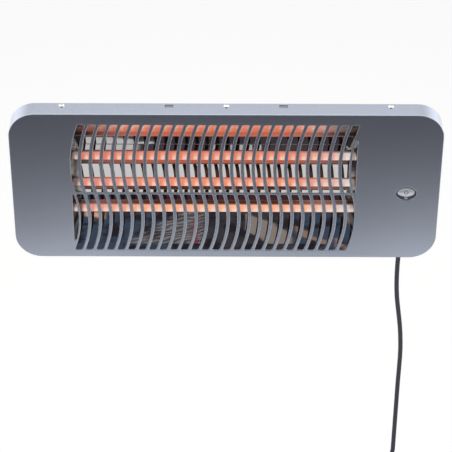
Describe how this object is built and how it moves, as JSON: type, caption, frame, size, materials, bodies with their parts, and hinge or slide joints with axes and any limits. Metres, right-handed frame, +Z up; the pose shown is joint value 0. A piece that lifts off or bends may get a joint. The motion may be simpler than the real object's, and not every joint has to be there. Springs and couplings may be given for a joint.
{
  "type": "electric bar heater",
  "caption": "Wide flat wall heater with rounded corners, S-shaped grille bars over glowing quartz tubes, a mirror reflector, an oval push button, a tilting wall bracket and a mains cord.",
  "frame": {"origin": "centre of the wall plate's back face, midway between its two screw holes", "axes": "+X to the heater's right as seen from the front, +Y into the wall, +Z up; the heater's face looks along -Y"},
  "size_m": [0.6232, 0.124, 0.8642],
  "materials": {
    "cover_paint": "satin metallic grey paint",
    "housing_paint": "matte dark grey powder coat",
    "bracket_paint": "matte dark grey powder coat",
    "bright_steel": "bright zinc plate",
    "zinc_steel": "zinc-coated sheet",
    "mirror_aluminium": "mirror polished",
    "quartz_top": "milky, lit from inside",
    "quartz_middle": "milky, lit from inside",
    "quartz_bottom": "milky, lit from inside",
    "heating_wire": "oxidised",
    "ceramic": "unglazed",
    "knob_plastic": "matte",
    "black_plastic": "matte",
    "bezel_plastic": "satin",
    "button_silver": "silver coated",
    "white_plastic": "natural nylon",
    "wire_sleeve": "glass-fibre sleeve",
    "brass": "plain",
    "cord_rubber": "satin, dark grey",
    "tie_plastic": "satin",
    "plug_rubber": "satin, dark grey",
    "nickel": "nickel plate"
  },
  "bodies": {
    "wall_mount": {"wall_bracket": "bracket_paint", "pivot_bolts": "bright_steel", "friction_washers": "black_plastic"},
    "heater": {"hinge_lug_left": "bracket_paint", "hinge_lug_right": "bracket_paint", "lug_screws": "bright_steel", "front_cover": "cover_paint", "cover_screws": "bright_steel", "rear_housing": "housing_paint", "reflector": "mirror_aluminium", "reflector_cheek_left": "mirror_aluminium", "reflector_cheek_right": "mirror_aluminium", "quartz_tube_top": "quartz_top", "quartz_tube_middle": "quartz_middle", "quartz_tube_bottom": "quartz_bottom", "heating_wire_top": "heating_wire", "heating_wire_middle": "heating_wire", "heating_wire_bottom": "heating_wire", "end_cap_top_left": "ceramic", "end_cap_middle_left": "ceramic", "end_cap_bottom_left": "ceramic", "end_cap_top_right": "ceramic", "end_cap_middle_right": "ceramic", "end_cap_bottom_right": "ceramic", "tube_bracket_left": "zinc_steel", "tube_bracket_right": "zinc_steel", "bracket_screws": "bright_steel", "button_bezel": "bezel_plastic", "push_switch": "black_plastic", "terminal_block": "ceramic", "thermal_cutout": "black_plastic", "link_wires": "wire_sleeve", "lead_wires": "wire_sleeve", "earth_screw": "brass", "cable_clamp": "white_plastic", "strain_relief": "cord_rubber", "supply_tail": "cord_rubber", "cord": "cord_rubber", "cord_coil": "cord_rubber", "cord_tie": "tie_plastic", "plug_body": "plug_rubber", "plug_pins": "nickel"},
    "knob_left": {"knob_left": "knob_plastic"},
    "knob_right": {"knob_right": "knob_plastic"},
    "push_button": {"push_button": "button_silver"}
  },
  "joints": [
    {"name": "tilt", "type": "hinge", "parent": "wall_mount", "child": "heater", "pos_m": [0, -0.046, 0], "axis": [1, 0, 0], "range_deg": [0, 35]},
    {"name": "knob_left_turn", "type": "hinge", "parent": "wall_mount", "child": "knob_left", "pos_m": [-0.11, -0.046, 0], "axis": [-1, 0, 0], "range_deg": [0, 180]},
    {"name": "knob_right_turn", "type": "hinge", "parent": "wall_mount", "child": "knob_right", "pos_m": [0.11, -0.046, 0], "axis": [1, 0, 0], "range_deg": [0, 180]},
    {"name": "button_press", "type": "slide", "parent": "heater", "child": "push_button", "axis": [0, 1, 0], "range_m": [0, 0.0018], "stiffness_N_per_m": 800}
  ]
}
